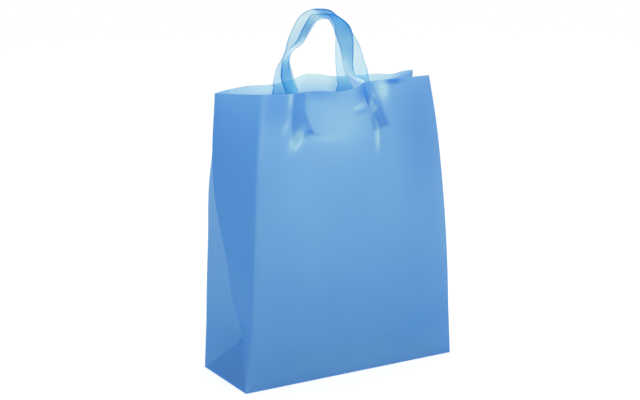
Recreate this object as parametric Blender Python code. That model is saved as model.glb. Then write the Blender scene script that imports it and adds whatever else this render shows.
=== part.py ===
"""Soft-loop carrier bag of frosted blue polyethylene film, standing open.

A gusseted film tube is folded to a square bottom. The left gusset has popped outwards at the
mouth and the right one is folded inwards. Two loops of the same film are welded to the inner
faces of the front and back panels, and a stiff board lies on the bottom.
The origin is the centre of the base, +Z is up and the front panel faces -Y. Units are metres.
"""
from math import pi, radians, sin, sqrt

import bmesh
import bpy
import numpy as np
from mathutils import Vector

# Bag film
BAG_WIDTH = 0.406
BAG_DEPTH = 0.152
FILM_HEIGHT = 0.489
FILM_WALL = 0.001

# Loop handles, cut from a wide strip that is gathered where the hand holds it
STRIP_THICKNESS = 0.0012
STRIP_WIDTH = 0.066
STRIP_CURL = 0.003
LOOP_RISE = 0.114
WELD_LENGTH = 0.078
WELD_GAP = 0.0008
RIM_BLEND = 0.025

# Stiff board on the bottom
BOARD_THICKNESS = 0.0015
BOARD_FRONT_CLEARANCE = 0.004
BOARD_SIDE_CLEARANCE = 0.006
BOARD_CORNER = 0.004
BOARD_GAP = 0.0003

# How the open bag has slumped: share of the film's height, then the shift of that
# corner crease from its base corner towards +X and +Y
CREASE_DRIFT = {
    "front_left": [(0.0, 0.0, 0.0), (0.25, 0.014, 0.003), (0.45, 0.019, 0.0),
                   (0.75, 0.024, -0.007), (1.0, 0.0285, -0.0155)],
    "front_right": [(0.0, 0.0, 0.0), (0.18, 0.0035, 0.009), (0.37, 0.0052, 0.0185),
                    (0.66, 0.0022, 0.035), (0.87, 0.001, 0.056), (1.0, 0.0015, 0.077)],
    "back_right": [(0.0, 0.0, 0.0), (0.5, 0.003, -0.008), (1.0, 0.007, -0.019)],
    "back_left": [(0.0, 0.0, 0.0), (0.2, 0.0008, -0.004), (0.45, 0.0045, -0.008),
                  (0.72, 0.0065, -0.022), (1.0, 0.023, -0.061)],
}
CREASE_DROP = {"front_left": 0.004, "front_right": 0.0055, "back_right": 0.0015, "back_left": 0.007}
SIDE_FOLD_DROP = {"left": 0.004, "right": 0.014}

# Left gusset: share of the film's height, then how far its centre fold is pushed in
LEFT_FOLD_PUSH = [(0.0, 0.0), (0.155, 0.030), (0.28, 0.010), (0.42, -0.004),
                  (0.58, -0.024), (0.80, -0.043), (1.0, -0.054)]

# Waves of the two rims: share of the panel's width, then how far out and how far up
FRONT_RIM = [(0.0, 0.0, 0.0), (0.14, 0.012, -0.002), (0.22, 0.014, -0.001), (0.41, 0.020, -0.0055),
             (0.48, 0.017, -0.003), (0.54, 0.013, 0.003), (0.62, 0.009, 0.003), (0.74, 0.003, 0.002),
             (0.88, 0.0, 0.0005), (1.0, 0.0, 0.0)]
BACK_RIM = [(0.0, 0.0, 0.0), (0.10, 0.009, 0.001), (0.25, 0.012, -0.001), (0.36, 0.016, 0.004),
            (0.43, 0.020, 0.0085), (0.50, 0.022, 0.006), (0.58, 0.021, 0.0), (0.68, 0.018, -0.0025),
            (0.80, 0.012, -0.002), (0.88, 0.005, -0.0045), (0.94, 0.002, -0.001), (1.0, 0.0, 0.0)]
PANEL_BELLY = 0.012
RIM_WAVE_REACH = 2.5
RIM_LIFT_REACH = 8.0

# Half the distance between a loop's legs, and how far its top leans in
FRONT_HALF_SPAN = 0.090
FRONT_LEAN = 0.058
REAR_HALF_SPAN = 0.075
REAR_LEAN = 0.022

# Loops: weld centres as shares of the panel's width, then the path up one leg and down the other.
# Each row holds the middle of the strip, as shares of the half span, of the rise (of the weld's
# length where it is negative) and of the lean, then the step from its left to its right edge, as
# shares of the strip's width.
FRONT_LOOP = {
    "welds": (0.20, 0.59),
    "half_span": FRONT_HALF_SPAN,
    "lean": FRONT_LEAN,
    "path": [
        (-0.89, -0.97, 0.00, 0.62, 0.24, 0.00), (-1.02, -0.44, 0.02, 0.44, 0.02, 0.00),
        (-1.04, -0.13, 0.14, 0.42, 0.02, 0.02), (-1.10, 0.13, 0.29, 0.52, -0.05, 0.09),
        (-1.10, 0.24, 0.36, 0.55, -0.08, 0.18), (-1.06, 0.38, 0.47, 0.48, -0.06, 0.27),
        (-1.00, 0.47, 0.55, 0.42, 0.00, 0.33), (-0.81, 0.57, 0.66, 0.27, -0.05, 0.38),
        (-0.56, 0.67, 0.72, 0.23, -0.05, 0.41), (-0.38, 0.79, 0.81, 0.24, 0.00, 0.42),
        (-0.20, 0.91, 0.87, 0.24, 0.05, 0.42), (-0.02, 0.98, 0.93, 0.20, 0.08, 0.42),
        (0.18, 1.00, 0.95, 0.26, 0.02, 0.42), (0.39, 1.00, 0.96, 0.36, -0.03, 0.42),
        (0.55, 0.94, 0.94, 0.29, -0.14, 0.42), (0.67, 0.85, 0.92, 0.05, -0.14, 0.40),
        (0.73, 0.74, 0.90, -0.17, -0.11, 0.38), (0.71, 0.60, 0.79, -0.26, 0.00, 0.32),
        (0.69, 0.42, 0.66, -0.11, 0.00, 0.33), (0.62, 0.13, 0.45, -0.02, -0.04, 0.30),
        (0.73, -0.04, 0.29, -0.48, 0.06, 0.09), (0.89, -0.36, 0.14, -0.60, 0.06, 0.02),
        (0.98, -0.67, 0.02, -0.59, 0.06, 0.00), (1.09, -0.97, 0.00, -0.62, -0.10, 0.00),
    ],
}
REAR_LOOP = {
    "welds": (0.33, 0.70),
    "half_span": REAR_HALF_SPAN,
    "lean": REAR_LEAN,
    "path": [
        (-1.22, -0.97, 0.00, 0.72, -0.08, 0.00), (-1.21, -0.62, 0.04, 0.80, -0.09, 0.02),
        (-1.20, -0.33, 0.18, 0.80, -0.10, 0.03), (-1.17, -0.15, 0.27, 0.74, -0.14, 0.05),
        (-1.23, 0.14, 0.45, 0.45, -0.09, 0.03), (-1.27, 0.35, 0.73, 0.05, 0.03, 0.27),
        (-1.21, 0.49, 0.86, -0.04, 0.01, 0.36), (-1.04, 0.61, 0.95, 0.20, -0.06, 0.36),
        (-0.88, 0.77, 0.95, 0.24, -0.06, 0.42), (-0.67, 0.93, 0.90, 0.21, -0.12, 0.43),
        (-0.45, 0.99, 0.88, 0.06, -0.21, 0.44), (-0.24, 1.00, 0.88, -0.11, -0.21, 0.42),
        (-0.03, 0.97, 0.92, -0.29, -0.20, 0.36), (0.11, 0.88, 1.00, -0.36, -0.20, 0.24),
        (0.25, 0.77, 1.05, -0.45, -0.20, 0.12), (0.37, 0.62, 1.00, -0.56, -0.15, 0.00),
        (0.48, 0.45, 0.91, -0.71, -0.09, -0.11), (0.57, 0.24, 0.82, -0.82, -0.03, -0.17),
        (0.68, 0.03, 0.68, -0.92, -0.03, -0.17), (0.76, -0.28, 0.50, -0.92, 0.00, -0.13),
        (0.80, -0.62, 0.10, -0.86, -0.03, -0.07), (0.83, -0.97, 0.00, -0.78, 0.00, 0.00),
    ],
}

# Mesh steps
TRIANGLE_STEPS = 6
WALL_STEPS = 13
PANEL_STEPS = 20
LOOP_STEPS = 46
STRIP_STEPS = 4

FILM_COLOUR = "6FA7DB"
HANDLE_COLOUR = "A9D2EC"
BOARD_COLOUR = "B9C4CC"


def along(rows, share):
    """Value at a share of a smooth curve through rows of (share, value, ...)."""
    table = np.array(rows, dtype=float)
    keys = table[:, 0]
    values = table[:, 1:]
    slopes = np.gradient(values, keys, axis=0)
    i = int(np.clip(np.searchsorted(keys, share) - 1, 0, len(keys) - 2))
    step = keys[i + 1] - keys[i]
    t = (share - keys[i]) / step
    start = (1 + 2 * t) * (1 - t) ** 2 * values[i] + t * (1 - t) ** 2 * step * slopes[i]
    end = t * t * (3 - 2 * t) * values[i + 1] + t * t * (t - 1) * step * slopes[i + 1]
    return start + end


def crease(corner, height):
    """Point of a corner crease, at a height measured along the film."""
    face, side = corner.split("_")
    drift = along(CREASE_DRIFT[corner], height / FILM_HEIGHT)
    x = BAG_WIDTH / 2 if side == "right" else -BAG_WIDTH / 2
    y = BAG_DEPTH / 2 if face == "back" else -BAG_DEPTH / 2
    z = height * (1 - CREASE_DROP[corner] / FILM_HEIGHT)
    return Vector((x + drift[0], y + drift[1], z))


def side_fold(side, height):
    """Point of a gusset's centre fold, from the tip of the bottom triangle to the rim."""
    front = crease("front_" + side, height)
    back = crease("back_" + side, height)
    half = (back - front).length / 2
    inward = Vector((1, 0, 0)) if side == "left" else Vector((-1, 0, 0))
    if side == "left":
        push = along(LEFT_FOLD_PUSH, height / FILM_HEIGHT)[0]
    else:
        push = sqrt(max((BAG_DEPTH / 2) ** 2 - half ** 2, 0.0))
    return (front + back) / 2 + inward * push


def triangle_tip(side):
    """Tip of the triangle that the square bottom folds up from the side of the base."""
    tip = side_fold(side, BAG_DEPTH / 2)
    lean = BAG_WIDTH / 2 - abs(tip.x)
    tip.z = sqrt((BAG_DEPTH / 2) ** 2 - lean ** 2)
    return tip


def fold_point(side, height):
    """The centre fold with its true height: it starts from the triangle's tip."""
    tip = triangle_tip(side)
    rim_z = FILM_HEIGHT - SIDE_FOLD_DROP[side]
    share = (height - BAG_DEPTH / 2) / (FILM_HEIGHT - BAG_DEPTH / 2)
    point = side_fold(side, height)
    point.z = tip.z + (rim_z - tip.z) * share
    return point


def gusset_point(face, side, share, height):
    """Point of a half gusset, from its corner crease (share 0) to the centre fold (share 1)."""
    corner = face + "_" + side
    edge = crease(corner, height)
    fold_height = BAG_DEPTH / 2
    if height >= fold_height:
        return edge.lerp(fold_point(side, height), share)
    rise = height / fold_height
    tip = triangle_tip(side)
    base_corner = crease(corner, 0.0)
    base_middle = Vector((base_corner.x, 0.0, 0.0))
    diagonal = base_corner.lerp(tip, rise)
    middle = base_middle.lerp(tip, rise)
    if share <= rise:
        return edge.lerp(diagonal, share / rise if rise else 0.0)
    return diagonal.lerp(middle, (share - rise) / (1 - rise))


def panel_point(face, share, height):
    """Point of the front or back panel, from its left crease (share 0) to its right one."""
    left = crease(face + "_left", height)
    right = crease(face + "_right", height)
    chord = right - left
    outward = Vector((chord.y, -chord.x, 0)).normalized()
    if face == "back":
        outward = -outward
    climb = height / FILM_HEIGHT
    out, lift = along(FRONT_RIM if face == "front" else BACK_RIM, share)
    out = out * climb ** RIM_WAVE_REACH + PANEL_BELLY * sin(pi * share) * sin(pi * climb)
    lift = lift * climb ** RIM_LIFT_REACH
    return left.lerp(right, share) + outward * out + Vector((0, 0, lift))


def inner_face(face, share, height, depth):
    """Point at a depth inside a panel's outer face, for what is welded to the panel."""
    step = 0.002
    across = panel_point(face, share + step, height) - panel_point(face, share - step, height)
    upward = panel_point(face, share, height) - panel_point(face, share, height - step)
    inward = upward.cross(across).normalized()
    if face == "back":
        inward = -inward
    return panel_point(face, share, height) + inward * depth


def film_heights():
    """Film heights of the rows: even steps up the triangle, then even steps to the rim."""
    low = [BAG_DEPTH / 2 * i / TRIANGLE_STEPS for i in range(TRIANGLE_STEPS)]
    wall = FILM_HEIGHT - BAG_DEPTH / 2
    high = [BAG_DEPTH / 2 + wall * i / WALL_STEPS for i in range(WALL_STEPS + 1)]
    return low + high


def film_row(height):
    """One closed row round the bag, anticlockwise from the front left crease."""
    panel = [i / PANEL_STEPS for i in range(PANEL_STEPS)]
    half = [i / TRIANGLE_STEPS for i in range(TRIANGLE_STEPS)]
    row = [panel_point("front", s, height) for s in panel]
    row += [gusset_point("front", "right", s, height) for s in half]
    row += [gusset_point("back", "right", 1 - s, height) for s in half]
    row += [panel_point("back", 1 - s, height) for s in panel]
    row += [gusset_point("back", "left", s, height) for s in half]
    row += [gusset_point("front", "left", 1 - s, height) for s in half]
    return row


def add_wall_faces(bm, rows):
    """Join the rows, splitting the cells on the triangles' slanted folds along those folds."""
    count = len(rows[0])
    first_half = PANEL_STEPS
    starts = [first_half, first_half + TRIANGLE_STEPS]
    starts += [s + PANEL_STEPS + 2 * TRIANGLE_STEPS for s in starts]
    for k in range(len(rows) - 1):
        for i in range(count):
            j = (i + 1) % count
            low_a, low_b, high_a, high_b = rows[k][i], rows[k][j], rows[k + 1][i], rows[k + 1][j]
            rising = any(i == start + k for start in starts[0::2])
            falling = any(i == start + TRIANGLE_STEPS - 1 - k for start in starts[1::2])
            if k < TRIANGLE_STEPS and rising:
                bm.faces.new((low_a, low_b, high_b))
                bm.faces.new((low_a, high_b, high_a))
            elif k < TRIANGLE_STEPS and falling:
                bm.faces.new((low_a, low_b, high_a))
                bm.faces.new((low_b, high_b, high_a))
            else:
                bm.faces.new((low_a, low_b, high_b, high_a))


def add_floor_faces(bm, ring):
    """Flat bottom as a grid between the rows' lowest points."""
    depth = 2 * TRIANGLE_STEPS
    front = ring[:PANEL_STEPS + 1]
    right = ring[PANEL_STEPS:PANEL_STEPS + depth + 1]
    back = ring[PANEL_STEPS + depth:2 * PANEL_STEPS + depth + 1][::-1]
    left = (ring[2 * PANEL_STEPS + depth:] + ring[:1])[::-1]
    lines = [front]
    for j in range(1, depth):
        inner = []
        for i in range(1, PANEL_STEPS):
            inner.append(bm.verts.new(front[i].co.lerp(back[i].co, j / depth)))
        lines.append([left[j]] + inner + [right[j]])
    lines.append(back)
    for j in range(depth):
        for i in range(PANEL_STEPS):
            bm.faces.new((lines[j][i], lines[j + 1][i], lines[j + 1][i + 1], lines[j][i + 1]))


def material(name, colour, roughness):
    """Principled material from an sRGB hex colour."""
    channels = [int(colour[i:i + 2], 16) / 255 for i in (0, 2, 4)]
    linear = [c / 12.92 if c <= 0.04045 else ((c + 0.055) / 1.055) ** 2.4 for c in channels]
    result = bpy.data.materials.new(name)
    result.use_nodes = True
    shader = result.node_tree.nodes["Principled BSDF"]
    shader.inputs["Base Color"].default_value = (*linear, 1.0)
    shader.inputs["Roughness"].default_value = roughness
    shader.inputs["Metallic"].default_value = 0.0
    return result


def add_object(name, bm, finish):
    """Turn a bmesh into a named object that is shaded smooth between its folds."""
    mesh = bpy.data.meshes.new(name)
    bm.to_mesh(mesh)
    bm.free()
    mesh.shade_smooth()
    mesh.set_sharp_from_angle(angle=radians(35))
    mesh.materials.append(finish)
    result = bpy.data.objects.new(name, mesh)
    bpy.context.collection.objects.link(result)
    return result


def add_thickness(piece, thickness, offset):
    """Give a sheet its thickness; offset -1 grows it behind its faces, 0 to both sides."""
    solidify = piece.modifiers.new("Film thickness", "SOLIDIFY")
    solidify.thickness = thickness
    solidify.offset = offset
    solidify.use_even_offset = True


def make_bag_film():
    """The folded film: panels, gussets, bottom triangles and flat bottom in one sheet."""
    bm = bmesh.new()
    rows = [[bm.verts.new(p) for p in film_row(h)] for h in film_heights()]
    add_wall_faces(bm, rows)
    add_floor_faces(bm, rows[0])
    film = add_object("bag_film", bm, material("Frosted blue film", FILM_COLOUR, 0.45))
    add_thickness(film, FILM_WALL, -1)


def loop_frame(face):
    """Middle of the two welds at the rim, then the directions along the panel and inwards."""
    loop = FRONT_LOOP if face == "front" else REAR_LOOP
    depth = FILM_WALL + WELD_GAP + STRIP_THICKNESS / 2
    left, right = [inner_face(face, s, FILM_HEIGHT, depth) for s in loop["welds"]]
    chord = Vector((right.x - left.x, right.y - left.y, 0)).normalized()
    inward = Vector((-chord.y, chord.x, 0))
    if face == "back":
        inward = -inward
    return (left + right) / 2, chord, inward


def loop_place(face, spot):
    """World point of (along, up, in): against the panel below the rim, and free above it."""
    loop = FRONT_LOOP if face == "front" else REAR_LOOP
    origin, chord, inward = loop_frame(face)
    free = origin + chord * spot[0] + Vector((0, 0, spot[1])) + inward * spot[2]
    if spot[1] >= 0:
        return free
    share = sum(loop["welds"]) / 2 + spot[0] / BAG_WIDTH
    depth = FILM_WALL + WELD_GAP + STRIP_THICKNESS / 2 + max(spot[2], 0.0)
    held = inner_face(face, share, FILM_HEIGHT + spot[1], depth)
    grip = min(-spot[1] / RIM_BLEND, 1.0)
    return free.lerp(held, grip * grip * (3 - 2 * grip))


def loop_station(loop, share):
    """Middle of the strip and its step from left to right edge, as (along, up, in)."""
    path = loop["path"]
    table = [(i / (len(path) - 1), *row) for i, row in enumerate(path)]
    row = along(table, share)
    up = row[1] * (LOOP_RISE if row[1] >= 0 else WELD_LENGTH)
    middle = Vector((row[0] * loop["half_span"], up, row[2] * loop["lean"]))
    return middle, Vector(row[3:]) * STRIP_WIDTH


def loop_row(face, share):
    """Points across the strip, curled a little about the line of the loop."""
    loop = FRONT_LOOP if face == "front" else REAR_LOOP
    middle, across = loop_station(loop, share)
    ahead = loop_station(loop, min(share + 0.5 / LOOP_STEPS, 1.0))[0]
    behind = loop_station(loop, max(share - 0.5 / LOOP_STEPS, 0.0))[0]
    hollow = (ahead - behind).cross(across).normalized()
    curl = STRIP_CURL * sin(pi * share) ** 2 if middle[1] > 0 else 0.0
    row = []
    for i in range(STRIP_STEPS + 1):
        place = i / STRIP_STEPS - 0.5
        spot = middle + across * place + hollow * curl * (1 - 4 * place * place)
        row.append(loop_place(face, spot))
    return row


def make_handle(name, face):
    """One film loop: a welded end, the free loop and the other welded end."""
    rows = [loop_row(face, i / LOOP_STEPS) for i in range(LOOP_STEPS + 1)]
    bm = bmesh.new()
    grid = [[bm.verts.new(p) for p in row] for row in rows]
    for a, b in zip(grid, grid[1:]):
        for i in range(STRIP_STEPS):
            bm.faces.new((a[i], a[i + 1], b[i + 1], b[i]))
    strip = add_object(name, bm, material(name.replace("_", " ") + " film", HANDLE_COLOUR, 0.35))
    add_thickness(strip, STRIP_THICKNESS, 0)


def make_base_board():
    """The stiff board, clear of the walls and resting on the bottom film."""
    length = BAG_WIDTH - 2 * (FILM_WALL + BOARD_SIDE_CLEARANCE)
    width = BAG_DEPTH - 2 * (FILM_WALL + BOARD_FRONT_CLEARANCE)
    bm = bmesh.new()
    bmesh.ops.create_cube(bm, size=1.0)
    bmesh.ops.scale(bm, vec=(length, width, BOARD_THICKNESS), verts=bm.verts)
    upright = [e for e in bm.edges if abs(e.verts[0].co.z - e.verts[1].co.z) > BOARD_THICKNESS / 2]
    bmesh.ops.bevel(bm, geom=upright, offset=BOARD_CORNER, segments=4, affect="EDGES")
    lift = FILM_WALL + BOARD_GAP + BOARD_THICKNESS / 2
    bmesh.ops.translate(bm, vec=(0, 0, lift), verts=bm.verts)
    add_object("base_board", bm, material("Grey board", BOARD_COLOUR, 0.8))


def main():
    """Clear the scene and make the bag."""
    for old in list(bpy.data.objects):
        bpy.data.objects.remove(old, do_unlink=True)
    make_bag_film()
    make_handle("front_handle", "front")
    make_handle("rear_handle", "back")
    make_base_board()


main()
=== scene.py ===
"""Looks of a soft-loop carrier bag of frosted blue polyethylene film, standing open.

The film body, its folded bottom and the two loops are rebuilt as fine sheets on the same
creases and paths as the solids, with puckers, turned edges and soft folds. All lengths are in
metres.
"""
from functools import lru_cache
from math import cos, exp, hypot, pi, radians, sin, sqrt

import bmesh
import bpy
import numpy as np
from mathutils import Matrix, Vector, noise


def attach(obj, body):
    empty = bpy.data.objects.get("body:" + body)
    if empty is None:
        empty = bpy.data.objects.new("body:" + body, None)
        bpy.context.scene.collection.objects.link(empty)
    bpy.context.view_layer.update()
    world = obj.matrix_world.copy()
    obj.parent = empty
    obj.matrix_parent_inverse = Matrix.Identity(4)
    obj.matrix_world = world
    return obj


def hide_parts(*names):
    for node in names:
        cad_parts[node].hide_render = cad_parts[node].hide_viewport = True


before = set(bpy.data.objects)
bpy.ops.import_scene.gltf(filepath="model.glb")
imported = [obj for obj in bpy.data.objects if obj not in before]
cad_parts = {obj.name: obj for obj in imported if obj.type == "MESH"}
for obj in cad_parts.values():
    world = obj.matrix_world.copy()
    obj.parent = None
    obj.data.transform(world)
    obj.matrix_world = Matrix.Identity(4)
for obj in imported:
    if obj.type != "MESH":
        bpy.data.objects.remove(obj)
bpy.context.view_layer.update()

# The bag's driving sizes, as in the solids
BAG_WIDTH = 0.406
BAG_DEPTH = 0.152
FILM_HEIGHT = 0.489
FILM_WALL = 0.001
STRIP_WIDTH = 0.066
LOOP_RISE = 0.114
WELD_LENGTH = 0.078
WELD_GAP = 0.0008
RIM_BLEND = 0.025

# Drawn film, a little thicker than the real 0.1 mm so that its edge shows
FILM_DRAWN = 0.0004
LOOP_DRAWN = 0.0003

# Share of the film's height, then the shift of each corner crease towards +X and +Y
CREASE_DRIFT = {
    "front_left": [(0.0, 0.0, 0.0), (0.25, 0.014, 0.003), (0.45, 0.019, 0.0),
                   (0.75, 0.024, -0.007), (1.0, 0.0285, -0.0155)],
    "front_right": [(0.0, 0.0, 0.0), (0.18, 0.0035, 0.009), (0.37, 0.0052, 0.0185),
                    (0.66, 0.0022, 0.035), (0.87, 0.001, 0.056), (1.0, 0.0015, 0.077)],
    "back_right": [(0.0, 0.0, 0.0), (0.5, 0.003, -0.008), (1.0, 0.007, -0.019)],
    "back_left": [(0.0, 0.0, 0.0), (0.2, 0.0008, -0.004), (0.45, 0.0045, -0.008),
                  (0.72, 0.0065, -0.022), (1.0, 0.023, -0.061)],
}
CREASE_DROP = {"front_left": 0.004, "front_right": 0.0055, "back_right": 0.0015,
               "back_left": 0.007}
SIDE_FOLD_DROP = {"left": 0.004, "right": 0.014}
LEFT_FOLD_PUSH = [(0.0, 0.0), (0.155, 0.030), (0.28, 0.010), (0.42, -0.004),
                  (0.58, -0.024), (0.80, -0.043), (1.0, -0.054)]

# Waves of the two rims: share of the panel's width, then how far out and how far up
RIMS = {
    "front": [(0.0, 0.0, 0.0), (0.14, 0.012, -0.002), (0.22, 0.014, -0.001),
              (0.41, 0.020, -0.0055), (0.48, 0.017, -0.003), (0.54, 0.013, 0.003),
              (0.62, 0.009, 0.003), (0.74, 0.003, 0.002), (0.88, 0.0, 0.0005), (1.0, 0.0, 0.0)],
    "back": [(0.0, 0.0, 0.0), (0.10, 0.009, 0.001), (0.25, 0.012, -0.001), (0.36, 0.016, 0.004),
             (0.43, 0.020, 0.0085), (0.50, 0.022, 0.006), (0.58, 0.021, 0.0),
             (0.68, 0.018, -0.0025), (0.80, 0.012, -0.002), (0.88, 0.005, -0.0045),
             (0.94, 0.002, -0.001), (1.0, 0.0, 0.0)],
}
# Bulge of a panel's middle, and how fast a rim's wave and its lift die out below the rim
PANEL_BELLY = 0.012
RIM_WAVE_REACH = 2.5
RIM_LIFT_REACH = 8.0

# Outward bow of the gussets towards the rim
GUSSET_BOW = 0.0025

# Slow dents of the free film: their depth, how many a metre holds across and up, the share of the
# small ones, where each panel's pattern of noise starts, and the shift to its small dents
DENT_DEPTH = 0.0022
BROAD_DENTS = (7.0, 4.5)
SMALL_DENTS = (21.0, 9.0)
SMALL_DENT_SHARE = 0.25
DENT_SEED = {"front": 2.0, "back": 31.0}
SMALL_DENT_SHIFT = 9.0

# Half the distance between a loop's legs, and how far its top leans in
FRONT_HALF_SPAN = 0.090
FRONT_LEAN = 0.058
REAR_HALF_SPAN = 0.075
REAR_LEAN = 0.022

# Loops: weld centres as shares of the panel's width, then the path up one leg and down the other.
# Each row holds the middle of the strip, as shares of the half span, of the rise (of the weld's
# length where it is negative) and of the lean, then the step from its left to its right edge, as
# shares of the strip's width. The tone is painted light and shade of the film at the strip's left
# and right edges there, darker partly where layers lie folded on each other, and past 1 a painted
# white highlight. The cut is the flat strip's length, and the area of it that is drawn: the real
# strip has more, in gathers too tight to tell.
FRONT_LOOP = {
    "cut": (0.510, 0.0172),
    "welds": (0.20, 0.59),
    "half_span": FRONT_HALF_SPAN,
    "lean": FRONT_LEAN,
    "path": [
        (-0.89, -0.97, 0.00, 0.62, 0.24, 0.00), (-1.02, -0.44, 0.02, 0.44, 0.02, 0.00),
        (-1.04, -0.13, 0.14, 0.42, 0.02, 0.02), (-1.10, 0.13, 0.29, 0.52, -0.05, 0.09),
        (-1.10, 0.24, 0.36, 0.55, -0.08, 0.18), (-1.06, 0.38, 0.47, 0.48, -0.06, 0.27),
        (-1.00, 0.47, 0.55, 0.42, 0.00, 0.33), (-0.81, 0.57, 0.66, 0.27, -0.05, 0.38),
        (-0.56, 0.67, 0.72, 0.23, -0.05, 0.41), (-0.38, 0.79, 0.81, 0.24, 0.00, 0.42),
        (-0.20, 0.91, 0.87, 0.24, 0.05, 0.42), (-0.02, 0.98, 0.93, 0.20, 0.08, 0.42),
        (0.18, 1.00, 0.95, 0.26, 0.02, 0.42), (0.39, 1.00, 0.96, 0.36, -0.03, 0.42),
        (0.55, 0.94, 0.94, 0.29, -0.14, 0.42), (0.67, 0.85, 0.92, 0.05, -0.14, 0.40),
        (0.73, 0.74, 0.90, -0.17, -0.11, 0.38), (0.71, 0.60, 0.79, -0.26, 0.00, 0.32),
        (0.69, 0.42, 0.66, -0.11, 0.00, 0.33), (0.62, 0.13, 0.45, -0.02, -0.04, 0.30),
        (0.73, -0.04, 0.29, -0.48, 0.06, 0.09), (0.89, -0.36, 0.14, -0.60, 0.06, 0.02),
        (0.98, -0.67, 0.02, -0.59, 0.06, 0.00), (1.09, -0.97, 0.00, -0.62, -0.10, 0.00),
    ],
    # Painted light and shade along the strip, past 1 painted white highlights
    "tone": [
        (0.6, 0.6), (0.6, 0.6), (0.4, 1.3), (0.3, 1.0), (0.2, 0.7), (0.8, 0.8), (1.8, 1.5),
        (2.0, 1.2), (1.2, 0.5), (0.5, 0.4), (0.6, 0.5), (1.0, 1.0), (0.9, 0.7), (0.2, 0.1),
        (0.3, 0.5), (0.2, 0.5), (0.1, 0.5), (0.4, 0.5), (0.5, 0.6), (0.9, 1.6), (1.9, 1.9),
        (0.6, 0.6), (0.6, 0.6), (0.6, 0.6),
    ],
}
REAR_LOOP = {
    "cut": (0.454, 0.0216),
    "welds": (0.33, 0.70),
    "half_span": REAR_HALF_SPAN,
    "lean": REAR_LEAN,
    "path": [
        (-1.22, -0.97, 0.00, 0.72, -0.08, 0.00), (-1.21, -0.62, 0.04, 0.80, -0.09, 0.02),
        (-1.20, -0.33, 0.18, 0.80, -0.10, 0.03), (-1.17, -0.15, 0.27, 0.74, -0.14, 0.05),
        (-1.23, 0.14, 0.45, 0.45, -0.09, 0.03), (-1.27, 0.35, 0.73, 0.05, 0.03, 0.27),
        (-1.21, 0.49, 0.86, -0.04, 0.01, 0.36), (-1.04, 0.61, 0.95, 0.20, -0.06, 0.36),
        (-0.88, 0.77, 0.95, 0.24, -0.06, 0.42), (-0.67, 0.93, 0.90, 0.21, -0.12, 0.43),
        (-0.45, 0.99, 0.88, 0.06, -0.21, 0.44), (-0.24, 1.00, 0.88, -0.11, -0.21, 0.42),
        (-0.03, 0.97, 0.92, -0.29, -0.20, 0.36), (0.11, 0.88, 1.00, -0.36, -0.20, 0.24),
        (0.25, 0.77, 1.05, -0.45, -0.20, 0.12), (0.37, 0.62, 1.00, -0.56, -0.15, 0.00),
        (0.48, 0.45, 0.91, -0.71, -0.09, -0.11), (0.57, 0.24, 0.82, -0.82, -0.03, -0.17),
        (0.68, 0.03, 0.68, -0.92, -0.03, -0.17), (0.76, -0.28, 0.50, -0.92, 0.00, -0.13),
        (0.80, -0.62, 0.10, -0.86, -0.03, -0.07), (0.83, -0.97, 0.00, -0.78, 0.00, 0.00),
    ],
    # Painted light and shade along the strip, past 1 painted white highlights
    "tone": [
        (0.2, 0.2), (0.2, 0.2), (0.3, 0.3), (0.7, 0.6), (0.9, 0.6), (0.8, 0.6), (0.8, 0.8),
        (0.85, 0.8), (1.0, 0.7), (1.0, 1.0), (1.0, 1.0), (0.1, 0.3), (0.0, 0.2), (0.4, 0.5),
        (0.8, 0.9), (1.0, 1.0), (1.0, 1.0), (1.0, 1.0), (0.9, 0.9), (0.6, 0.5), (0.4, 0.4),
        (0.4, 0.4),
    ],
}

LOOPS = {"front": FRONT_LOOP, "back": REAR_LOOP}

# A strip's hollow curl, its turned edges (width, and radius of the turn), the height that lifts
# them off the panel, its fine crimp (height, waves a metre across and along the whole strip, and
# where its noise starts), how far along its direction is measured, and how far below the rim it
# lies flat
STRIP_CURL = 0.003
HEM = 0.0036
HEM_BEND = 0.0009
STRIP_LIFT = 0.0008
CRIMP_HEIGHT = 0.0005
CRIMP_ACROSS = 90
CRIMP_ALONG = 14.0
CRIMP_SEED = 3.0
PATH_LOOK = 0.006
FLAT_BELOW = 0.02

# Puckers of the front and back films at each weld, measured from the weld's foot: where the
# ridge starts and ends (right, up), its half width and its height. Each is highest at a share of
# its length and fades from there, and none reaches further from the foot than PUCKER_REACH.
LEFT_PUCKERS = [
    (-0.003, 0.014, -0.024, -0.018, 0.0045, 0.0035),
    (0.000, 0.010, 0.030, 0.000, 0.0030, -0.0020),
    (0.010, 0.002, 0.080, 0.003, 0.0060, 0.0018),
    (-0.037, 0.040, -0.041, 0.014, 0.0040, 0.0015),
]
RIGHT_PUCKERS = [
    (0.006, 0.014, 0.004, -0.036, 0.0032, 0.0034),
    (-0.016, 0.044, -0.052, 0.047, 0.0040, 0.0020),
    (-0.016, 0.036, -0.052, 0.034, 0.0030, -0.0016),
    (0.030, 0.052, 0.033, 0.076, 0.0100, 0.0022),
    (-0.006, 0.050, 0.004, 0.028, 0.0040, 0.0025),
]

PUCKER_PEAK = 0.35
PUCKER_SPREAD = 0.42
PUCKER_END = 1.6
PUCKER_REACH = (0.09, 0.08)
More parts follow.
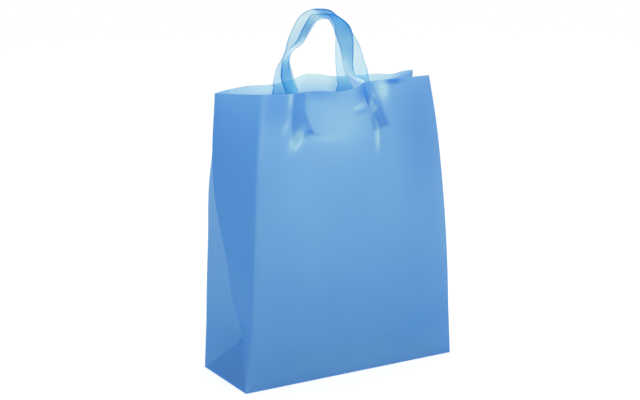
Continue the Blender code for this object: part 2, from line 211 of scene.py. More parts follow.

# Painted light and shade of the film, from 0 in its deepest folds to 1 at the mouth, where more
# light would get in: by share of the height, then soft painted light and shade patches of (share
# of the width, share of the height, half width, half height, slant, amount)
PANEL_LIGHT = [(0.0, 0.36), (0.08, 0.38), (0.20, 0.39), (0.45, 0.47), (0.62, 0.51), (0.80, 0.51),
               (0.92, 0.51), (1.0, 0.49)]
LIGHT_PATCHES = {
    "front": [
        (0.40, 0.89, 0.16, 0.10, 0.0, 0.22),
        (0.24, 0.62, 0.12, 0.20, 0.0, 0.03),
        (0.04, 0.75, 0.10, 0.20, 0.0, -0.05),
        (0.86, 0.82, 0.09, 0.20, 0.0, -0.12),
        (0.92, 0.45, 0.12, 0.30, 0.0, 0.05),
        (0.985, 0.55, 0.03, 0.35, 0.0, 0.09),
        (0.82, 0.13, 0.20, 0.07, 0.5, -0.07),
        (0.010, 0.86, 0.012, 0.10, 0.0, 0.05),
        (0.06, 0.97, 0.08, 0.08, 0.0, -0.22),
    ],
    "back": [
        (0.50, 1.00, 0.80, 0.05, 0.0, 0.55),
        (0.04, 1.00, 0.16, 0.06, 0.0, -0.22),
        (0.95, 1.00, 0.07, 0.06, 0.0, -0.35),
    ],
}

# Painted highlights and painted shades of the front film's crumples: share of the width, height
# above the rim, half length, half width, turn in degrees and amount
FRONT_GLINTS = [
    (0.125, -0.004, 0.018, 0.0052, 88, 0.70),
    (0.108, -0.052, 0.013, 0.0065, 75, 0.26),
    (0.168, -0.075, 0.018, 0.0105, 55, 0.85),
    (0.300, -0.0765, 0.050, 0.0065, 0, 0.12),
    (0.235, -0.067, 0.016, 0.0030, -20, -0.25),
    (0.280, -0.004, 0.036, 0.0100, 0, -0.26),
    (0.604, -0.086, 0.022, 0.0052, 89, 0.62),
    (0.495, -0.033, 0.020, 0.0045, 8, 0.30),
    (0.505, -0.0435, 0.020, 0.0030, -8, -0.22),
    (0.525, -0.015, 0.020, 0.0120, -40, -0.36),
    (0.577, -0.034, 0.008, 0.0050, 60, 0.55),
    (0.600, -0.022, 0.010, 0.0045, -40, 0.35),
    (0.597, -0.043, 0.008, 0.0055, 20, 0.55),
    (0.571, -0.050, 0.011, 0.0022, -60, 0.35),
    (0.553, -0.031, 0.014, 0.0032, -70, -0.28),
    (0.610, -0.058, 0.012, 0.0032, -70, -0.22),
    (0.662, -0.062, 0.014, 0.0040, -62, -0.06),
    (0.665, -0.014, 0.018, 0.0170, 80, 0.62),
    (0.745, -0.004, 0.024, 0.0042, 0, -0.60),
]

# Painted light and shade of the two halves of a gusset by share of the height, then of the folded
# triangles and the bottom with its flaps, painted darker partly for the layers that lie on each
# other there and partly as painted shade
GUSSET_LIGHT = {
    "front": [(0.0, 0.26), (0.3, 0.26), (0.6, 0.23), (0.85, 0.21), (1.0, 0.24)],
    "back": [(0.0, 0.38), (0.12, 0.35), (0.22, 0.42), (0.6, 0.43), (1.0, 0.47)],
}
TRIANGLE_LIGHT = 0.20
BOTTOM_LIGHT = 0.25

# Painted shade where the strips' ends lie behind a panel, partly for the extra layer: how much it
# darkens the panel, how soft its edge is, and how far below the rim this and the painted crumple
# marks reach, in lengths of the weld
WELD_SHADE = {"front": 0.20, "back": 0.12}
WELD_EDGE = 0.004
WELD_LIGHT_REACH = 1.5

# The square bottom and the two flaps that are folded and sealed under it: the heights of both,
# where their seam runs beside the middle, the gap in it, and how far they stay inside the edges
BOTTOM_LIFT = 0.0006
FLAP_LIFT = 0.0001
SEAM_PLACE = 0.005
SEAM_GAP = 0.0006
FLAP_MARGIN = 0.0012

# Mesh steps of the film: finest round the welds. Rows of (where the steps end, length of a step)
LOOP_STEPS = 190
STRIP_STEPS = 36
TRIANGLE_STEPS = 16
PANEL_GRID = [(0.085, 0.012), (0.74, 0.005), (1.0, 0.013)]
WALL_GRID = [(FILM_HEIGHT - 0.105, 0.007), (FILM_HEIGHT, 0.002)]

# Soft corners: how many smoothing passes and how many steps to each side of the crease
CREASE_SOFTNESS = {"front_left": (6, 2.6), "front_right": (1, 0.8), "back_right": (2, 1.5),
                   "back_left": (1, 1.0)}
SHARP_ANGLE = 50

# Patterns, in repeats a metre. Die lines run up blown film, about 4.5 mm apart and 70 mm long. The
# frosted grain is drawn at 0.7 mm, coarser than the real one so that it shows, and the film's
# thickness, with how much light it lets through, drifts over about 110 mm. The board's fibres are
# 5.5 mm long and 1.4 mm wide, also coarser than real ones.
DIE_LINES = (220.0, 220.0, 14.0)
FROST_GRAIN = 1400.0
THICKNESS_DRIFT = 9.0
DRIFT_LIGHT = 0.06
BOARD_FIBRES = (180.0, 700.0, 700.0)

# White studio: the floor's size, its place just under the bag, its grey in the light that reaches
# the bag, the grey and glow of its white as the camera sees it, and the same for the surroundings
FLOOR_SIZE = 12.0
FLOOR_DROP = 0.0005
FLOOR_GREY = 0.8
SEEN_GREY = 0.36
SEEN_GLOW = 0.76
SKY_LIGHT = 0.66
SKY_SEEN = 1.0

# Soft lamps: name, place and power
LAMP_SIZE = 1.6
LAMP_TARGET = (0, 0, 0.3)
LAMPS = [("key lamp", (1.2, -2.2, 2.4), 28.0), ("top lamp", (-0.4, 0.6, 2.6), 15.0)]

# The camera stands where the photograph was taken from
PHOTO_LENS = 73.1
CAMERA_PLACE = (-1.114, -1.840, 0.749)
CAMERA_YAW = 30.76
CAMERA_PITCH = 12.21


def along(rows, share):
    """Value at a share of a smooth curve through rows of (share, value, ...)."""
    table = np.array(rows, dtype=float)
    keys = table[:, 0]
    values = table[:, 1:]
    slopes = np.gradient(values, keys, axis=0)
    i = int(np.clip(np.searchsorted(keys, share) - 1, 0, len(keys) - 2))
    step = keys[i + 1] - keys[i]
    t = (share - keys[i]) / step
    start = (1 + 2 * t) * (1 - t) ** 2 * values[i] + t * (1 - t) ** 2 * step * slopes[i]
    end = t * t * (3 - 2 * t) * values[i + 1] + t * t * (t - 1) * step * slopes[i + 1]
    return start + end


def graded(start, rows):
    """Places from a start on, with even steps in each row of (end, step)."""
    places = [start]
    for end, step in rows:
        first = places[-1]
        count = max(1, round((end - first) / step))
        places += [first + (end - first) * i / count for i in range(1, count + 1)]
    return places


PANEL_SHARES = graded(0.0, PANEL_GRID)
PANEL_STEPS = len(PANEL_SHARES) - 1


@lru_cache(maxsize=None)
def crease(corner, height):
    """Point of a corner crease, at a height measured along the film."""
    face, side = corner.split("_")
    drift = along(CREASE_DRIFT[corner], height / FILM_HEIGHT)
    x = BAG_WIDTH / 2 if side == "right" else -BAG_WIDTH / 2
    y = BAG_DEPTH / 2 if face == "back" else -BAG_DEPTH / 2
    z = height * (1 - CREASE_DROP[corner] / FILM_HEIGHT)
    return Vector((x + drift[0], y + drift[1], z))


@lru_cache(maxsize=None)
def side_fold(side, height):
    """Point of a gusset's centre fold, level with its creases."""
    front = crease("front_" + side, height)
    back = crease("back_" + side, height)
    half = (back - front).length / 2
    if side == "left":
        push = along(LEFT_FOLD_PUSH, height / FILM_HEIGHT)[0]
        return (front + back) / 2 + Vector((push, 0, 0))
    push = sqrt(max((BAG_DEPTH / 2) ** 2 - half ** 2, 0.0))
    return (front + back) / 2 - Vector((push, 0, 0))


@lru_cache(maxsize=None)
def triangle_tip(side):
    """Tip of the triangle that the square bottom folds up from the side of the base."""
    tip = side_fold(side, BAG_DEPTH / 2).copy()
    lean = BAG_WIDTH / 2 - abs(tip.x)
    tip.z = sqrt((BAG_DEPTH / 2) ** 2 - lean ** 2)
    return tip


@lru_cache(maxsize=None)
def fold_point(side, height):
    """The centre fold with its true height: it starts from the triangle's tip."""
    tip = triangle_tip(side)
    rim_z = FILM_HEIGHT - SIDE_FOLD_DROP[side]
    share = (height - BAG_DEPTH / 2) / (FILM_HEIGHT - BAG_DEPTH / 2)
    point = side_fold(side, height).copy()
    point.z = tip.z + (rim_z - tip.z) * share
    return point


def gusset_point(face, side, share, height):
    """Point of a half gusset, from its corner crease (share 0) to the centre fold (share 1)."""
    edge = crease(face + "_" + side, height)
    fold_height = BAG_DEPTH / 2
    if height >= fold_height:
        bow = GUSSET_BOW * sin(pi * share) * (height - fold_height) / FILM_HEIGHT
        outward = Vector((-bow if side == "left" else bow, 0, 0))
        return edge.lerp(fold_point(side, height), share) + outward
    rise = height / fold_height
    tip = triangle_tip(side)
    base_corner = crease(face + "_" + side, 0.0)
    diagonal = base_corner.lerp(tip, rise)
    middle = Vector((base_corner.x, 0.0, 0.0)).lerp(tip, rise)
    if share <= rise:
        return edge.lerp(diagonal, share / rise if rise else 0.0)
    return diagonal.lerp(middle, (share - rise) / (1 - rise))


@lru_cache(maxsize=None)
def rim_wave(face, share):
    """How far a panel's rim stands out and up at a share of its width."""
    return along(RIMS[face], share)


def pucker(face, share, height):
    """Height of the small ridges that run from the feet of the two welds."""
    loop = LOOPS[face]
    foot = FILM_HEIGHT - WELD_LENGTH
    total = 0.0
    for weld, ridges in zip(loop["welds"], (LEFT_PUCKERS, RIGHT_PUCKERS)):
        right = (share - weld) * BAG_WIDTH
        up = height - foot
        if abs(right) > PUCKER_REACH[0] or abs(up) > PUCKER_REACH[1]:
            continue
        for x0, z0, x1, z1, half, tall in ridges:
            length = hypot(x1 - x0, z1 - z0)
            run = ((right - x0) * (x1 - x0) + (up - z0) * (z1 - z0)) / length ** 2
            off = ((right - x0) * (z1 - z0) - (up - z0) * (x1 - x0)) / length
            fade = exp(-((run - PUCKER_PEAK) / PUCKER_SPREAD) ** 2) if run < PUCKER_END else 0.0
            total += tall * fade * exp(-(off / half) ** 2)
    return total


def wander(x, z, seed):
    """Slow dents of a free film, about -1 to 1."""
    broad = noise.noise(Vector((x * BROAD_DENTS[0], z * BROAD_DENTS[1], seed)))
    small_seed = seed + SMALL_DENT_SHIFT
    small = noise.noise(Vector((x * SMALL_DENTS[0], z * SMALL_DENTS[1], small_seed)))
    return broad + SMALL_DENT_SHARE * small


def panel_point(face, share, height):
    """Point of the front or back panel, from its left crease (share 0) to its right one."""
    left = crease(face + "_left", height)
    right = crease(face + "_right", height)
    chord = right - left
    outward = Vector((chord.y, -chord.x, 0)).normalized()
    if face == "back":
        outward = -outward
    climb = height / FILM_HEIGHT
    out, lift = rim_wave(face, share)
    out = out * climb ** RIM_WAVE_REACH + PANEL_BELLY * sin(pi * share) * sin(pi * climb)
    lift = lift * climb ** RIM_LIFT_REACH
    # The creases and the base hold the film: it is free a quarter of the way in and a fifth up
    free = min(1.0, 4 * share, 4 * (1 - share)) * min(1.0, 5 * climb)
    out += DENT_DEPTH * free * wander(share * BAG_WIDTH, height, DENT_SEED[face])
    out += pucker(face, share, height)
    return left.lerp(right, share) + outward * out + Vector((0, 0, lift))


def inner_face(face, share, height, depth):
    """Point at a depth inside a panel's outer face, for what is welded to the panel."""
    step = 0.002
    across = panel_point(face, share + step, height) - panel_point(face, share - step, height)
    upward = panel_point(face, share, height) - panel_point(face, share, height - step)
    inward = upward.cross(across).normalized()
    if face == "back":
        inward = -inward
    return panel_point(face, share, height) + inward * depth


def film_heights():
    """Film heights of the rows: even steps up the triangle, then graded steps to the rim."""
    low = [BAG_DEPTH / 2 * i / TRIANGLE_STEPS for i in range(TRIANGLE_STEPS)]
    return low + graded(BAG_DEPTH / 2, WALL_GRID)


def soften_corners(row, climb):
    """Round the corner creases of one row: sharp at the base and softest from a sixth up."""
    points = np.array(row)
    count = len(points)
    ends = {"front_left": 0, "front_right": PANEL_STEPS,
            "back_right": PANEL_STEPS + 2 * TRIANGLE_STEPS,
            "back_left": 2 * PANEL_STEPS + 2 * TRIANGLE_STEPS}
    index = np.arange(count)
    grow = min(1.0, 6 * climb)
    for corner, place in ends.items():
        passes, spread = CREASE_SOFTNESS[corner]
        gap = np.abs((index - place + count // 2) % count - count // 2)
        weight = grow * np.exp(-(gap / spread) ** 2)[:, None]
        for _ in range(passes):
            mean = (np.roll(points, 1, axis=0) + np.roll(points, -1, axis=0)) / 2
            points += weight * 0.5 * (mean - points)
    return [Vector(p) for p in points]


def closed_row(panel, gusset, height):
    """What two functions of the film give round the bag, anticlockwise from the front left crease.

    panel takes the face, the share of its width and the height, and gusset also its side.
    """
    half = [i / TRIANGLE_STEPS for i in range(TRIANGLE_STEPS)]
    row = [panel("front", s, height) for s in PANEL_SHARES[:-1]]
    row += [gusset("front", "right", s, height) for s in half]
    row += [gusset("back", "right", 1 - s, height) for s in half]
    row += [panel("back", s, height) for s in PANEL_SHARES[:0:-1]]
    row += [gusset("back", "left", s, height) for s in half]
    row += [gusset("front", "left", 1 - s, height) for s in half]
    return row


def patch(share, climb, row):
    """One soft light or dark patch of (share, climb, half width, half height, slant, amount)."""
    centre, middle, half_width, half_height, slant, amount = row
    up = (climb - middle) / half_height
    across = (share - centre - slant * (climb - middle)) / half_width
    return amount * exp(-across * across - up * up)


def glint(x, up, row):
    """One slanted painted mark of a crumple: a highlight, and a shade where its amount is
    negative.
    """
    centre, middle, half_length, half_width, turn, amount = row
    x = x - centre * BAG_WIDTH
    up = up - middle
    run = (x * cos(radians(turn)) + up * sin(radians(turn))) / half_length
    off = (up * cos(radians(turn)) - x * sin(radians(turn))) / half_width
    return amount * exp(-run * run - off * off)


@lru_cache(maxsize=None)
def weld_outlines(face):
    """Outlines of the strips' two ends behind a panel, as (right, up) from its left rim."""
    loop = LOOPS[face]
    centre = sum(loop["welds"]) / 2 * BAG_WIDTH
    outlines = []
    for rows in (loop["path"][:5], loop["path"][-5:]):
        near, far = [], []
        for place, rise, _, across, climb, _ in rows:
            x = centre + place * loop["half_span"]
            up = rise * (LOOP_RISE if rise >= 0 else WELD_LENGTH)
            near.append((x - across * STRIP_WIDTH / 2, up - climb * STRIP_WIDTH / 2))
            far.append((x + across * STRIP_WIDTH / 2, up + climb * STRIP_WIDTH / 2))
        outlines.append(near + far[::-1])
    return outlines


def weld_cover(face, x, up):
    """Mask of the painted shade: 1 where a strip's end lies behind the film, 0 beside it,
    soft-edged.
    """
    cover = 0.0
    for outline in weld_outlines(face):
        inside = False
        nearest = WELD_EDGE
        for (x0, z0), (x1, z1) in zip(outline, outline[1:] + outline[:1]):
            if (z0 > up) != (z1 > up) and x < x0 + (up - z0) / (z1 - z0) * (x1 - x0):
                inside = not inside
            square = (x1 - x0) ** 2 + (z1 - z0) ** 2
            run = ((x - x0) * (x1 - x0) + (up - z0) * (z1 - z0)) / square
            run = min(max(run, 0.0), 1.0)
            nearest = min(nearest, hypot(x - x0 - run * (x1 - x0), up - z0 - run * (z1 - z0)))
        signed = nearest if inside else -nearest
        cover = max(cover, min(max(0.5 + signed / WELD_EDGE, 0.0), 1.0))
    return cover


def panel_light(face, share, height):
    """Painted light and shade of a panel: more towards the open mouth, less at the welds."""
    climb = height / FILM_HEIGHT
    level = along(PANEL_LIGHT, climb)[0]
    level += sum(patch(share, climb, row) for row in LIGHT_PATCHES[face])
    x, up = share * BAG_WIDTH, height - FILM_HEIGHT
    if up > -WELD_LIGHT_REACH * WELD_LENGTH:
        # Painted shade where a strip's end lies behind the panel
        level -= WELD_SHADE[face] * weld_cover(face, x, up)
        if face == "front":
            # Painted highlights and painted shades of the front film's crumples
            level += sum(glint(x, up, row) for row in FRONT_GLINTS)
    return level


def gusset_light(face, side, share, height):
    """Painted light and shade of half a gusset, the same on both sides of the bag.

    Its share runs from the crease to the centre fold.
    """
    if height < BAG_DEPTH / 2 and share > height / (BAG_DEPTH / 2):
        return TRIANGLE_LIGHT
    return along(GUSSET_LIGHT[face], height / FILM_HEIGHT)[0]


def add_wall_faces(bm, rows):
    """Join the rows, splitting the cells on the triangles' slanted folds along those folds."""
    count = len(rows[0])
    starts = [PANEL_STEPS, PANEL_STEPS + TRIANGLE_STEPS]
    starts += [s + PANEL_STEPS + 2 * TRIANGLE_STEPS for s in starts]
    for k in range(len(rows) - 1):
        for i in range(count):
            j = (i + 1) % count
            low_a, low_b, high_a, high_b = rows[k][i], rows[k][j], rows[k + 1][i], rows[k + 1][j]
            rising = any(i == start + k for start in starts[0::2])
            falling = any(i == start + TRIANGLE_STEPS - 1 - k for start in starts[1::2])
            if k < TRIANGLE_STEPS and rising:
                bm.faces.new((low_a, low_b, high_b))
                bm.faces.new((low_a, high_b, high_a))
            elif k < TRIANGLE_STEPS and falling:
                bm.faces.new((low_a, low_b, high_a))
                bm.faces.new((low_b, high_b, high_a))
            else:
                bm.faces.new((low_a, low_b, high_b, high_a))


def add_floor_faces(bm, ring):
    """Flat bottom as a grid between the rows' lowest points."""
    depth = 2 * TRIANGLE_STEPS
    front = ring[:PANEL_STEPS + 1]
    right = ring[PANEL_STEPS:PANEL_STEPS + depth + 1]
    back = ring[PANEL_STEPS + depth:2 * PANEL_STEPS + depth + 1][::-1]
    left = (ring[2 * PANEL_STEPS + depth:] + ring[:1])[::-1]
    lines = [front]
    for j in range(1, depth):
        inner = []
        for i in range(1, PANEL_STEPS):
            place = front[i].co.lerp(back[i].co, j / depth)
            inner.append(bm.verts.new(place + Vector((0, 0, BOTTOM_LIFT))))
        lines.append([left[j]] + inner + [right[j]])
    lines.append(back)
    for j in range(depth):
        for i in range(PANEL_STEPS):
            bm.faces.new((lines[j][i], lines[j + 1][i], lines[j + 1][i + 1], lines[j][i + 1]))


def add_flaps(bm):
    """The ends of the tube, folded under the bottom at 45 degrees and sealed along the middle."""
    for side in (-1, 1):
        edge = side * (BAG_DEPTH / 2 - FLAP_MARGIN)
        seam = SEAM_PLACE + side * SEAM_GAP / 2
        outer = BAG_WIDTH / 2 - 2 * FLAP_MARGIN
        inner = outer - abs(edge - seam)
        corners = [(-outer, edge), (outer, edge), (inner, seam), (-inner, seam)]
        verts = [bm.verts.new((x, y, FLAP_LIFT)) for x, y in corners]
        bm.faces.new(verts if side > 0 else verts[::-1])


def linear(colour):
    """Linear channels of an sRGB hex colour."""
    channels = [int(colour[i:i + 2], 16) / 255 for i in (0, 2, 4)]
    return [c / 12.92 if c <= 0.04045 else ((c + 0.055) / 1.055) ** 2.4 for c in channels] + [1.0]


def add_node(tree, kind, settings=None, values=None, links=None):
    """Add a node with its settings, input values and links from other nodes' outputs."""
    node = tree.nodes.new(kind)
    for name, value in (settings or {}).items():
        setattr(node, name, value)
    for name, value in (values or {}).items():
        node.inputs[name].default_value = value
    for name, source in (links or {}).items():
        tree.links.new(source, node.inputs[name])
    return node


def bare_material(name):
    """A new material and its empty node tree."""
    result = bpy.data.materials.new(name)
    result.use_nodes = True
    result.node_tree.nodes.clear()
    return result, result.node_tree


def film_material(name, deep, pale, clear_share, through_share, relief, roughness):
    """Blown low-density polyethylene, frosted: it scatters most light forward, so one layer
    against white is pale and each layer behind it deepens the blue. A soft gloss stays.

    deep and pale hold the film's own, its scattered and its straight colour, mixed by the "light"
    attribute, which paints light and shade: little or much light getting into the folds behind it.
    Past 1 the film is painted white, a painted highlight on sharp folds and partly the film's own
    stress-whitening along a crease. clear_share is the light that goes straight through, and
    through_share the part of the rest that is scattered forward.
    """
    result, tree = bare_material(name)
    place = add_node(tree, "ShaderNodeTexCoord")
    light = add_node(tree, "ShaderNodeAttribute", {"attribute_name": "light"})
    streak_map = add_node(tree, "ShaderNodeMapping", None, {"Scale": DIE_LINES},
                          {"Vector": place.outputs["Object"]})
    streaks = add_node(tree, "ShaderNodeTexNoise", None, {"Scale": 1.0, "Detail": 3.0},
                       {"Vector": streak_map.outputs["Vector"]})
    frost = add_node(tree, "ShaderNodeTexNoise", None, {"Scale": FROST_GRAIN, "Detail": 2.0},
                     {"Vector": place.outputs["Object"]})
    coarse = add_node(tree, "ShaderNodeBump", None,
                      {"Strength": 0.25 * relief, "Distance": 0.0002},
                      {"Height": streaks.outputs["Fac"]})
    fine = add_node(tree, "ShaderNodeBump", None,
                    {"Strength": 0.15 * relief, "Distance": 0.0001},
                    {"Height": frost.outputs["Fac"], "Normal": coarse.outputs["Normal"]})
    cloud = add_node(tree, "ShaderNodeTexNoise", None, {"Scale": THICKNESS_DRIFT, "Detail": 3.0},
                     {"Vector": place.outputs["Object"]})
    uneven = add_node(tree, "ShaderNodeMapRange", None,
                      {"To Min": -DRIFT_LIGHT, "To Max": DRIFT_LIGHT},
                      {"Value": cloud.outputs["Fac"]})
    level = add_node(tree, "ShaderNodeMath", {"operation": "ADD", "use_clamp": True}, None,
                     {0: light.outputs["Fac"], 1: uneven.outputs["Result"]})
    tints = [add_node(tree, "ShaderNodeMixRGB", None, {1: linear(low), 2: linear(high)},
                      {0: level.outputs[0]}).outputs[0] for low, high in zip(deep, pale)]
    surface = add_node(tree, "ShaderNodeBsdfPrincipled", None,
                       {"Roughness": roughness, "Metallic": 0.0, "IOR": 1.51},
                       {"Base Color": tints[0], "Normal": fine.outputs["Normal"]})
    forward = add_node(tree, "ShaderNodeBsdfTranslucent", None, None,
                       {"Color": tints[1], "Normal": fine.outputs["Normal"]})
    straight = add_node(tree, "ShaderNodeBsdfTransparent", None, None, {"Color": tints[2]})
    scatter = add_node(tree, "ShaderNodeMixShader", None, {"Fac": through_share},
                       {1: surface.outputs["BSDF"], 2: forward.outputs["BSDF"]})
    film = add_node(tree, "ShaderNodeMixShader", None, {"Fac": clear_share},
                    {1: scatter.outputs["Shader"], 2: straight.outputs["BSDF"]})
    # Past 1 the light attribute mixes in white: a painted highlight on sharp folds
    highlight_share = add_node(tree, "ShaderNodeMath", {"operation": "SUBTRACT", "use_clamp": True},
                      {1: 1.0}, {0: light.outputs["Fac"]})
    highlight_white = add_node(tree, "ShaderNodeBsdfTranslucent", None, {"Color": linear("F4FBFF")})
    highlighted = add_node(tree, "ShaderNodeMixShader", None, None,
                       {0: highlight_share.outputs[0], 1: film.outputs["Shader"],
                        2: highlight_white.outputs["BSDF"]})
    add_node(tree, "ShaderNodeOutputMaterial", None, None, {"Surface": highlighted.outputs["Shader"]})
    return result


def board_material():
    """Uncoated grey board, pressed from recycled pulp: matt, with short pale and dark fibres."""
    result, tree = bare_material("Uncoated grey board")
    place = add_node(tree, "ShaderNodeTexCoord")
    stretch = add_node(tree, "ShaderNodeMapping", None, {"Scale": BOARD_FIBRES},
                       {"Vector": place.outputs["Object"]})
    fibres = add_node(tree, "ShaderNodeTexNoise", None, {"Scale": 1.0, "Detail": 4.0},
                      {"Vector": stretch.outputs["Vector"]})
    tint = add_node(tree, "ShaderNodeValToRGB", None, None, {"Fac": fibres.outputs["Fac"]})
    tint.color_ramp.elements[0].position = 0.35
    tint.color_ramp.elements[0].color = linear("9EA5A8")
    tint.color_ramp.elements[1].position = 0.65
    tint.color_ramp.elements[1].color = linear("C6CBCC")
    bump = add_node(tree, "ShaderNodeBump", None, {"Strength": 0.3, "Distance": 0.0002},
                    {"Height": fibres.outputs["Fac"]})
    surface = add_node(tree, "ShaderNodeBsdfPrincipled", None,
                       {"Roughness": 0.85, "Metallic": 0.0},
                       {"Base Color": tint.outputs["Color"], "Normal": bump.outputs["Normal"]})
    add_node(tree, "ShaderNodeOutputMaterial", None, None, {"Surface": surface.outputs["BSDF"]})
    return result


def add_sheet(name, bm, light, material, thickness, offset):
    """Make a named sheet from a bmesh and give it thickness.

    light holds the painted light and shade of each point, in the points' order. Those that it
    leaves are the bottom.
    """
    mesh = bpy.data.meshes.new(name)
    bm.to_mesh(mesh)
    shade = mesh.attributes.new("light", "FLOAT", "POINT")
    bottom = [BOTTOM_LIGHT] * (len(mesh.vertices) - len(light))
    shade.data.foreach_set("value", light + bottom)
    bm.free()
    mesh.shade_smooth()
    mesh.set_sharp_from_angle(angle=radians(SHARP_ANGLE))
    mesh.materials.append(material)
    piece = bpy.data.objects.new(name, mesh)
    bpy.context.collection.objects.link(piece)
    solidify = piece.modifiers.new("Film thickness", "SOLIDIFY")
    solidify.thickness = thickness
    solidify.offset = offset
    solidify.use_even_offset = True
    return piece


def make_film_body(material):
    """The folded film: panels, gussets, bottom triangles and flat bottom in one sheet."""
    bm = bmesh.new()
    rows = []
    light = []
    for height in film_heights():
        points = closed_row(panel_point, gusset_point, height)
        rows.append([bm.verts.new(p) for p in soften_corners(points, height / FILM_HEIGHT)])
        # Painted light and shade of each point of the row
        light += closed_row(panel_light, gusset_light, height)
    add_wall_faces(bm, rows)
    add_floor_faces(bm, rows[0])
    add_flaps(bm)
    body = add_sheet("film_body", bm, light, material, FILM_DRAWN, -1)
    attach(body, "root")
    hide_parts("bag_film")


@lru_cache(maxsize=None)
def loop_frame(face):
    """Middle of the two welds at the rim, then the directions along the panel and inwards."""
    loop = LOOPS[face]
    depth = FILM_WALL + WELD_GAP
    left, right = [inner_face(face, s, FILM_HEIGHT, depth) for s in loop["welds"]]
    chord = Vector((right.x - left.x, right.y - left.y, 0)).normalized()
    inward = Vector((-chord.y, chord.x, 0))
    if face == "back":
        inward = -inward
    return (left + right) / 2, chord, inward


def loop_place(face, spot):
    """World point of (along, up, in): against the panel below the rim, and free above it."""
    loop = LOOPS[face]
    origin, chord, inward = loop_frame(face)
    free = origin + chord * spot[0] + Vector((0, 0, spot[1])) + inward * spot[2]
    if spot[1] >= 0:
        return free
    share = sum(loop["welds"]) / 2 + spot[0] / BAG_WIDTH
    depth = FILM_WALL + WELD_GAP + max(spot[2], 0.0)
    held = inner_face(face, share, FILM_HEIGHT + spot[1], depth)
    grip = min(-spot[1] / RIM_BLEND, 1.0)
    return free.lerp(held, grip * grip * (3 - 2 * grip))


def strip_section(width, curl):
    """Points across a strip with turned edges, as place across and height off its flat."""
    flat = width / 2 - HEM_BEND
    points = []
    for i in range(STRIP_STEPS + 1):
        x = (2 * i / STRIP_STEPS - 1) * (flat + HEM)
        side = 1 if x >= 0 else -1
        reach = abs(x)
        if reach <= flat:
            place, rise = reach, 0.0
        else:
            extra = reach - flat
            turn = min(extra / HEM_BEND, pi)
            place = flat + HEM_BEND * sin(turn) - max(extra - pi * HEM_BEND, 0.0)
            rise = HEM_BEND * (1 - cos(turn))
        rise += curl * (1 - (place / (STRIP_WIDTH / 2)) ** 2)
        points.append((side * place, rise))
    return points


def with_shares(rows):
    """The rows of a strip's table, each with its share of the way along the strip in front."""
    return [(i / (len(rows) - 1), *row) for i, row in enumerate(rows)]


def station(loop, path, share):
    """Middle of the strip at a share of its path, as (along, up, in), and its step across."""
    row = along(path, share)
    up = row[1] * (LOOP_RISE if row[1] >= 0 else WELD_LENGTH)
    middle = Vector((row[0] * loop["half_span"], up, row[2] * loop["lean"]))
    return middle, Vector(row[3:]) * STRIP_WIDTH


def make_loop(name, face, node, material):
    """One handle: a welded end, the free loop with its edges turned over, and the other end."""
    loop = LOOPS[face]
    path = with_shares(loop["path"])
    tones = with_shares(loop["tone"])
    bm = bmesh.new()
    grid = []
    light = []
    for k in range(LOOP_STEPS + 1):
        share = k / LOOP_STEPS
        left_tone, right_tone = along(tones, share)
        middle, across = station(loop, path, share)
        ahead = station(loop, path, min(share + PATH_LOOK, 1.0))[0]
        behind = station(loop, path, max(share - PATH_LOOK, 0.0))[0]
        hollow = (ahead - behind).cross(across).normalized()
        if middle[1] < 0:
            # Below the rim the strip's hollow side turns to the inside of the bag
            flat = min(-middle[1] / FLAT_BELOW, 1.0)
            hollow = hollow.lerp(Vector((0, 0, 1)), flat).normalized()
        width = across.length
        row = []
        for place, rise in strip_section(width, STRIP_CURL * sin(pi * share) ** 2):
            # Painted light and shade across the strip, from the tones at its edges
            light.append(left_tone + (right_tone - left_tone) * (place / width + 0.5))
            wave = noise.noise(Vector((place * CRIMP_ACROSS, share * CRIMP_ALONG, CRIMP_SEED)))
            height = rise + CRIMP_HEIGHT * wave + STRIP_LIFT
            spot = middle + across * (place / width) + hollow * height
            row.append(bm.verts.new(loop_place(face, spot)))
        grid.append(row)
    for a, b in zip(grid, grid[1:]):
        for i in range(STRIP_STEPS):
            bm.faces.new((a[i], a[i + 1], b[i + 1], b[i]))
    strip = add_sheet(name, bm, light, material, LOOP_DRAWN, 0)
    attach(strip, "root")
    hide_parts(node)


def seen_rays(tree):
    """1 for what the camera sees, also in gloss or through the film, and 0 for other light."""
    rays = add_node(tree, "ShaderNodeLightPath")
    mirrored = add_node(tree, "ShaderNodeMath", {"operation": "MAXIMUM"}, None,
                        {0: rays.outputs["Is Camera Ray"], 1: rays.outputs["Is Glossy Ray"]})
    seen = add_node(tree, "ShaderNodeMath", {"operation": "MAXIMUM"}, None,
                    {0: mirrored.outputs[0], 1: rays.outputs["Is Transmission Ray"]})
    return seen.outputs[0]


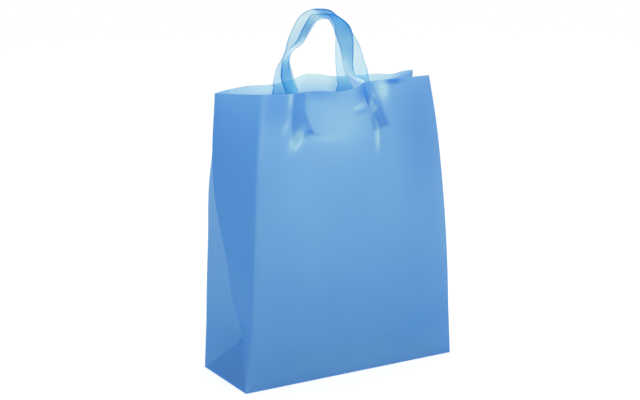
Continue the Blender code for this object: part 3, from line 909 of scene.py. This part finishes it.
def make_stage():
    """White floor that keeps the bag's soft shadow, and white surroundings."""
    bpy.ops.mesh.primitive_plane_add(size=FLOOR_SIZE, location=(0, 0, -FLOOR_DROP))
    floor = bpy.context.object
    floor.name = "floor"
    paint, tree = bare_material("Matt white floor")
    matt = add_node(tree, "ShaderNodeBsdfDiffuse", None, {"Color": (*[FLOOR_GREY] * 3, 1.0)})
    faint = add_node(tree, "ShaderNodeBsdfDiffuse", None, {"Color": (*[SEEN_GREY] * 3, 1.0)})
    glow = add_node(tree, "ShaderNodeEmission", None,
                    {"Color": (1, 1, 1, 1), "Strength": SEEN_GLOW})
    white = add_node(tree, "ShaderNodeAddShader", None, None,
                     {0: faint.outputs["BSDF"], 1: glow.outputs["Emission"]})
    both = add_node(tree, "ShaderNodeMixShader", None, None,
                    {0: seen_rays(tree), 1: matt.outputs["BSDF"], 2: white.outputs["Shader"]})
    add_node(tree, "ShaderNodeOutputMaterial", None, None, {"Surface": both.outputs["Shader"]})
    floor.data.materials.append(paint)

    world = bpy.data.worlds.new("White studio")
    bpy.context.scene.world = world
    world.use_nodes = True
    tree = world.node_tree
    tree.nodes.clear()
    level = add_node(tree, "ShaderNodeMapRange", None, {"To Min": SKY_LIGHT, "To Max": SKY_SEEN},
                     {"Value": seen_rays(tree)})
    sky = add_node(tree, "ShaderNodeBackground", None, {"Color": (1, 1, 1, 1)},
                   {"Strength": level.outputs["Result"]})
    add_node(tree, "ShaderNodeOutputWorld", None, None, {"Surface": sky.outputs["Background"]})


def add_lamp(name, place, power):
    """Soft square lamp that points at the bag."""
    data = bpy.data.lights.new(name, "AREA")
    data.size = LAMP_SIZE
    data.energy = power
    lamp = bpy.data.objects.new(name, data)
    lamp.location = place
    aim = Vector(LAMP_TARGET) - Vector(place)
    lamp.rotation_euler = aim.to_track_quat("-Z", "Y").to_euler()
    bpy.context.collection.objects.link(lamp)


def add_camera():
    """Camera at the photograph's angle, distance and field of view."""
    data = bpy.data.cameras.new("photo_view")
    data.lens = PHOTO_LENS
    data.sensor_width = 36.0
    camera = bpy.data.objects.new("photo_view", data)
    camera.location = CAMERA_PLACE
    camera.rotation_euler = (radians(90 - CAMERA_PITCH), 0, -radians(CAMERA_YAW))
    bpy.context.collection.objects.link(camera)
    bpy.context.scene.camera = camera


def main():
    """Build every piece around the frame, and give the board its material."""
    bpy.ops.object.select_all(action="DESELECT")
    bpy.context.scene.view_settings.view_transform = "Standard"
    add_camera()
    make_stage()
    for lamp in LAMPS:
        add_lamp(*lamp)
    frosted = film_material("Frosted polyethylene film", deep=("4D99DA", "A4D5FC", "A4D8FA"),
                            pale=("C6ECF8", "F3FFFC", "F8FFFA"), clear_share=0.30,
                            through_share=0.62, relief=1.0, roughness=0.42)
    # The loops are of the same film without the frosting: clearer, smoother and glossier
    clear = film_material("Clear polyethylene film", deep=("58B0F0", "58B0F0", "B4DCF6"),
                          pale=("5CD0FC", "5CD0FC", "FBFFFC"), clear_share=0.80,
                          through_share=0.60, relief=0.1, roughness=0.25)
    make_film_body(frosted)
    make_loop("front_loop", "front", "front_handle", clear)
    make_loop("rear_loop", "back", "rear_handle", clear)
    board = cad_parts["base_board"]
    board.data.materials.clear()
    board.data.materials.append(board_material())


main()
